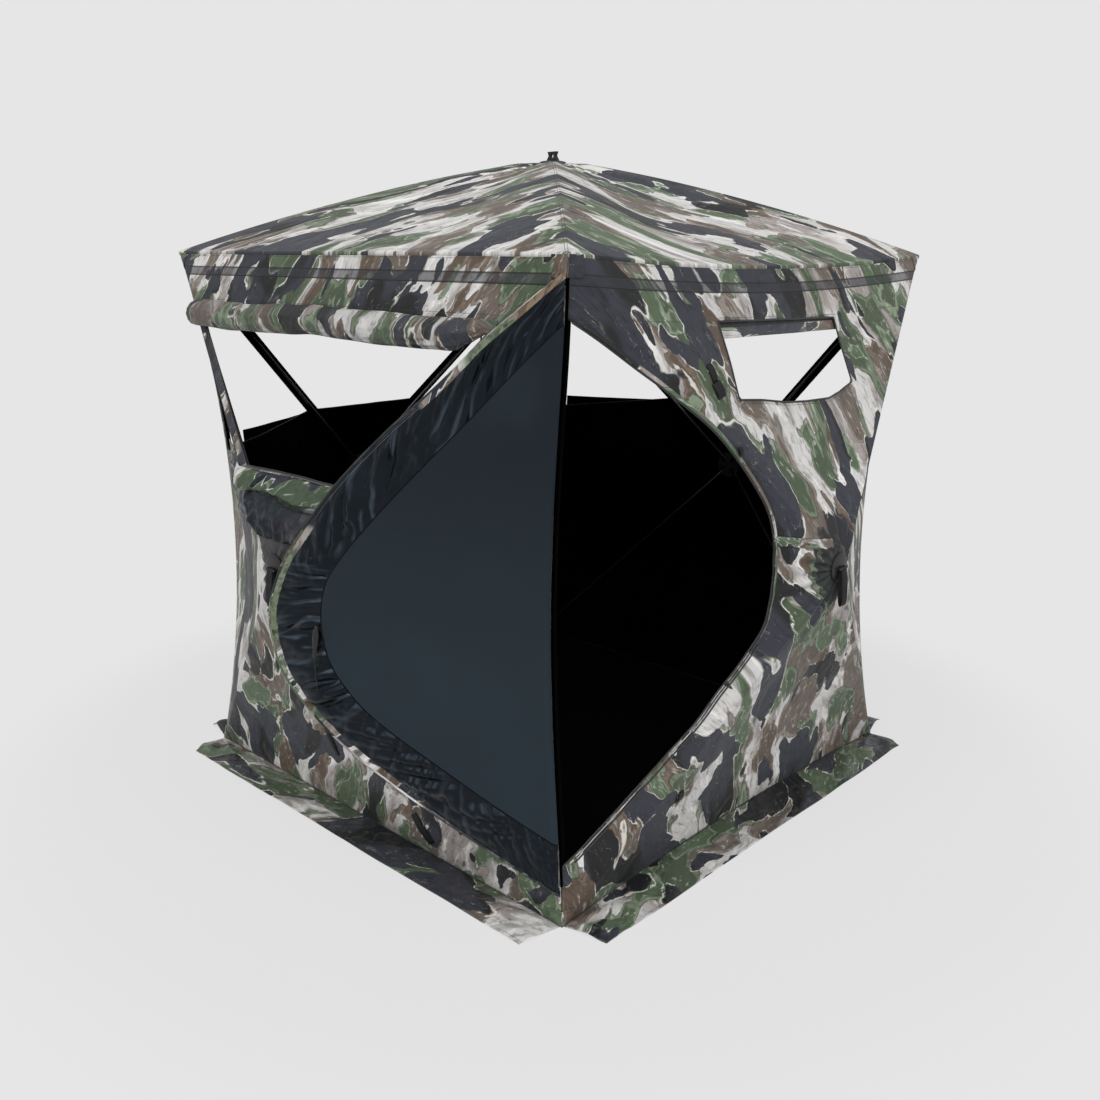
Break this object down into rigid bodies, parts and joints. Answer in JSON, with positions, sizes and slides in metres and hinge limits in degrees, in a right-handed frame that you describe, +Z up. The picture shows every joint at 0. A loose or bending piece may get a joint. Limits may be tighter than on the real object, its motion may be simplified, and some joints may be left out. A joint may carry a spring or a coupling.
{
  "type": "hub hunting blind",
  "caption": "Square pop-up hunting blind: fabric shell pushed out by hubs and rods, rolled-up windows, corner door leaf folded open, ground skirts.",
  "frame": {"origin": "on the ground in the middle of the footprint", "axes": "+Z up; +X out through the wall with the doorway; -Y out through the wall in front of which the open leaf lies"},
  "size_m": [2.0438, 2.0722, 1.8335],
  "materials": {
    "camo_cloth": null,
    "camo_skirt": null,
    "camo_satin": "satin side of the camouflage cloth",
    "leaf_satin": "black satin",
    "leaf_lining": "matte charcoal",
    "corner_pocket": "black",
    "hub_plastic": "black nylon",
    "webbing": "black webbing",
    "fibreglass": "black fibreglass"
  },
  "bodies": {
    "shell": {"roof": "camo_cloth", "wall_front": "camo_cloth", "wall_right": "camo_cloth", "wall_back": "camo_cloth", "wall_left": "camo_cloth", "skirt_front": "camo_skirt", "skirt_right": "camo_skirt", "skirt_back": "camo_skirt", "skirt_left": "camo_skirt", "roof_corner_front_right": "corner_pocket", "roof_corner_back_right": "corner_pocket", "roof_corner_back_left": "corner_pocket", "roof_corner_front_left": "corner_pocket", "ground_corner_front_right": "corner_pocket", "ground_corner_back_right": "corner_pocket", "ground_corner_back_left": "corner_pocket", "ground_corner_front_left": "corner_pocket", "window_roll_left": "camo_cloth", "window_roll_back": "camo_cloth", "window_roll_right": "camo_cloth", "window_drop_left": "camo_satin", "window_drop_back": "camo_satin", "window_drop_right": "camo_satin", "front_window_cover": "camo_satin"},
    "hub_front": {"hub_front": "hub_plastic", "hub_cap_front": "hub_plastic", "pull_loop_front": "webbing"},
    "pole_front_upper_left": {"pole_front_upper_left": "fibreglass"},
    "pole_front_upper_right": {"pole_front_upper_right": "fibreglass"},
    "pole_front_lower_left": {"pole_front_lower_left": "fibreglass"},
    "pole_front_lower_right": {"pole_front_lower_right": "fibreglass"},
    "hub_right": {"hub_right": "hub_plastic", "hub_cap_right": "hub_plastic", "pull_loop_right": "webbing"},
    "pole_right_upper_left": {"pole_right_upper_left": "fibreglass"},
    "pole_right_upper_right": {"pole_right_upper_right": "fibreglass"},
    "pole_right_lower_left": {"pole_right_lower_left": "fibreglass"},
    "pole_right_lower_right": {"pole_right_lower_right": "fibreglass"},
    "hub_back": {"hub_back": "hub_plastic", "hub_cap_back": "hub_plastic", "pull_loop_back": "webbing"},
    "pole_back_upper_left": {"pole_back_upper_left": "fibreglass"},
    "pole_back_upper_right": {"pole_back_upper_right": "fibreglass"},
    "pole_back_lower_left": {"pole_back_lower_left": "fibreglass"},
    "pole_back_lower_right": {"pole_back_lower_right": "fibreglass"},
    "hub_left": {"hub_left": "hub_plastic", "hub_cap_left": "hub_plastic", "pull_loop_left": "webbing"},
    "pole_left_upper_left": {"pole_left_upper_left": "fibreglass"},
    "pole_left_upper_right": {"pole_left_upper_right": "fibreglass"},
    "pole_left_lower_left": {"pole_left_lower_left": "fibreglass"},
    "pole_left_lower_right": {"pole_left_lower_right": "fibreglass"},
    "hub_roof": {"hub_roof": "hub_plastic", "hub_cap_roof": "hub_plastic"},
    "pole_roof_front_right": {"pole_roof_front_right": "fibreglass"},
    "pole_roof_back_right": {"pole_roof_back_right": "fibreglass"},
    "pole_roof_back_left": {"pole_roof_back_left": "fibreglass"},
    "pole_roof_front_left": {"pole_roof_front_left": "fibreglass"},
    "door": {"door_leaf": "leaf_satin", "door_lining": "leaf_lining"}
  },
  "joints": [
    {"name": "hub_front_push", "type": "slide", "parent": "shell", "child": "hub_front", "axis": [-1, 0, 0], "range_m": [0, 0.411], "deforming": ["wall_front", "front_window_cover"]},
    {"name": "pole_front_upper_left_pivot", "type": "hinge", "parent": "hub_front", "child": "pole_front_upper_left", "pos_m": [0.9835, -0.02132, 0.8061], "axis": [0, 0.7034, 0.7108], "range_deg": [0, 23.68]},
    {"name": "pole_front_upper_right_pivot", "type": "hinge", "parent": "hub_front", "child": "pole_front_upper_right", "pos_m": [0.9835, 0.02132, 0.8061], "axis": [0, 0.7034, -0.7108], "range_deg": [0, 23.68]},
    {"name": "pole_front_lower_left_pivot", "type": "hinge", "parent": "hub_front", "child": "pole_front_lower_left", "pos_m": [0.9835, -0.0209, 0.76347], "axis": [0, -0.7175, 0.6965], "range_deg": [0, 23.51]},
    {"name": "pole_front_lower_right_pivot", "type": "hinge", "parent": "hub_front", "child": "pole_front_lower_right", "pos_m": [0.9835, 0.0209, 0.76347], "axis": [0, -0.7175, -0.6965], "range_deg": [0, 23.51]},
    {"name": "hub_right_push", "type": "slide", "parent": "shell", "child": "hub_right", "axis": [0, -1, 0], "range_m": [0, 0.411], "deforming": ["wall_right", "window_roll_right", "window_drop_right"]},
    {"name": "pole_right_upper_left_pivot", "type": "hinge", "parent": "hub_right", "child": "pole_right_upper_left", "pos_m": [0.02132, 0.9835, 0.8061], "axis": [-0.7034, 0, 0.7108], "range_deg": [0, 23.68]},
    {"name": "pole_right_upper_right_pivot", "type": "hinge", "parent": "hub_right", "child": "pole_right_upper_right", "pos_m": [-0.02132, 0.9835, 0.8061], "axis": [-0.7034, 0, -0.7108], "range_deg": [0, 23.68]},
    {"name": "pole_right_lower_left_pivot", "type": "hinge", "parent": "hub_right", "child": "pole_right_lower_left", "pos_m": [0.0209, 0.9835, 0.76347], "axis": [0.7175, 0, 0.6965], "range_deg": [0, 23.51]},
    {"name": "pole_right_lower_right_pivot", "type": "hinge", "parent": "hub_right", "child": "pole_right_lower_right", "pos_m": [-0.0209, 0.9835, 0.76347], "axis": [0.7175, 0, -0.6965], "range_deg": [0, 23.51]},
    {"name": "hub_back_push", "type": "slide", "parent": "shell", "child": "hub_back", "axis": [1, 0, 0], "range_m": [0, 0.411], "deforming": ["wall_back", "window_roll_back", "window_drop_back"]},
    {"name": "pole_back_upper_left_pivot", "type": "hinge", "parent": "hub_back", "child": "pole_back_upper_left", "pos_m": [-0.9835, 0.02132, 0.8061], "axis": [0, -0.7034, 0.7108], "range_deg": [0, 23.68]},
    {"name": "pole_back_upper_right_pivot", "type": "hinge", "parent": "hub_back", "child": "pole_back_upper_right", "pos_m": [-0.9835, -0.02132, 0.8061], "axis": [0, -0.7034, -0.7108], "range_deg": [0, 23.68]},
    {"name": "pole_back_lower_left_pivot", "type": "hinge", "parent": "hub_back", "child": "pole_back_lower_left", "pos_m": [-0.9835, 0.0209, 0.76347], "axis": [0, 0.7175, 0.6965], "range_deg": [0, 23.51]},
    {"name": "pole_back_lower_right_pivot", "type": "hinge", "parent": "hub_back", "child": "pole_back_lower_right", "pos_m": [-0.9835, -0.0209, 0.76347], "axis": [0, 0.7175, -0.6965], "range_deg": [0, 23.51]},
    {"name": "hub_left_push", "type": "slide", "parent": "shell", "child": "hub_left", "axis": [0, 1, 0], "range_m": [0, 0.411], "deforming": ["wall_left", "window_roll_left", "window_drop_left"]},
    {"name": "pole_left_upper_left_pivot", "type": "hinge", "parent": "hub_left", "child": "pole_left_upper_left", "pos_m": [-0.02132, -0.9835, 0.8061], "axis": [0.7034, 0, 0.7108], "range_deg": [0, 23.68]},
    {"name": "pole_left_upper_right_pivot", "type": "hinge", "parent": "hub_left", "child": "pole_left_upper_right", "pos_m": [0.02132, -0.9835, 0.8061], "axis": [0.7034, 0, -0.7108], "range_deg": [0, 23.68]},
    {"name": "pole_left_lower_left_pivot", "type": "hinge", "parent": "hub_left", "child": "pole_left_lower_left", "pos_m": [-0.0209, -0.9835, 0.76347], "axis": [-0.7175, 0, 0.6965], "range_deg": [0, 23.51]},
    {"name": "pole_left_lower_right_pivot", "type": "hinge", "parent": "hub_left", "child": "pole_left_lower_right", "pos_m": [0.0209, -0.9835, 0.76347], "axis": [-0.7175, 0, -0.6965], "range_deg": [0, 23.51]},
    {"name": "hub_roof_push", "type": "slide", "parent": "shell", "child": "hub_roof", "axis": [0, 0, -1], "range_m": [0, 0.45], "deforming": ["roof"]},
    {"name": "pole_roof_front_right_pivot", "type": "hinge", "parent": "hub_roof", "child": "pole_roof_front_right", "pos_m": [0.02121, 0.02121, 1.7825], "axis": [0.7071, -0.7071, 0], "range_deg": [0, 25.82]},
    {"name": "pole_roof_back_right_pivot", "type": "hinge", "parent": "hub_roof", "child": "pole_roof_back_right", "pos_m": [-0.02121, 0.02121, 1.7825], "axis": [0.7071, 0.7071, 0], "range_deg": [0, 25.82]},
    {"name": "pole_roof_back_left_pivot", "type": "hinge", "parent": "hub_roof", "child": "pole_roof_back_left", "pos_m": [-0.02121, -0.02121, 1.7825], "axis": [-0.7071, 0.7071, 0], "range_deg": [0, 25.82]},
    {"name": "pole_roof_front_left_pivot", "type": "hinge", "parent": "hub_roof", "child": "pole_roof_front_left", "pos_m": [0.02121, -0.02121, 1.7825], "axis": [-0.7071, -0.7071, 0], "range_deg": [0, 25.82]},
    {"name": "door_hinge", "type": "hinge", "parent": "shell", "child": "door", "pos_m": [0.7634, -0.7634, 0], "axis": [0.0077, -0.0077, 0.9999], "range_deg": [0, 228.12]}
  ],
  "couplings": [
    {"joint": "pole_front_upper_left_pivot", "follows": "hub_front_push", "rad_per_m": 0.99696},
    {"joint": "pole_front_upper_right_pivot", "follows": "hub_front_push", "rad_per_m": 0.99696},
    {"joint": "pole_front_lower_left_pivot", "follows": "hub_front_push", "rad_per_m": 0.98978},
    {"joint": "pole_front_lower_right_pivot", "follows": "hub_front_push", "rad_per_m": 0.98978},
    {"joint": "pole_right_upper_left_pivot", "follows": "hub_right_push", "rad_per_m": 0.99696},
    {"joint": "pole_right_upper_right_pivot", "follows": "hub_right_push", "rad_per_m": 0.99696},
    {"joint": "pole_right_lower_left_pivot", "follows": "hub_right_push", "rad_per_m": 0.98978},
    {"joint": "pole_right_lower_right_pivot", "follows": "hub_right_push", "rad_per_m": 0.98978},
    {"joint": "pole_back_upper_left_pivot", "follows": "hub_back_push", "rad_per_m": 0.99696},
    {"joint": "pole_back_upper_right_pivot", "follows": "hub_back_push", "rad_per_m": 0.99696},
    {"joint": "pole_back_lower_left_pivot", "follows": "hub_back_push", "rad_per_m": 0.98978},
    {"joint": "pole_back_lower_right_pivot", "follows": "hub_back_push", "rad_per_m": 0.98978},
    {"joint": "pole_left_upper_left_pivot", "follows": "hub_left_push", "rad_per_m": 0.99696},
    {"joint": "pole_left_upper_right_pivot", "follows": "hub_left_push", "rad_per_m": 0.99696},
    {"joint": "pole_left_lower_left_pivot", "follows": "hub_left_push", "rad_per_m": 0.98978},
    {"joint": "pole_left_lower_right_pivot", "follows": "hub_left_push", "rad_per_m": 0.98978},
    {"joint": "pole_roof_front_right_pivot", "follows": "hub_roof_push", "rad_per_m": 0.99362},
    {"joint": "pole_roof_back_right_pivot", "follows": "hub_roof_push", "rad_per_m": 0.99362},
    {"joint": "pole_roof_back_left_pivot", "follows": "hub_roof_push", "rad_per_m": 0.99362},
    {"joint": "pole_roof_front_left_pivot", "follows": "hub_roof_push", "rad_per_m": 0.99362}
  ]
}
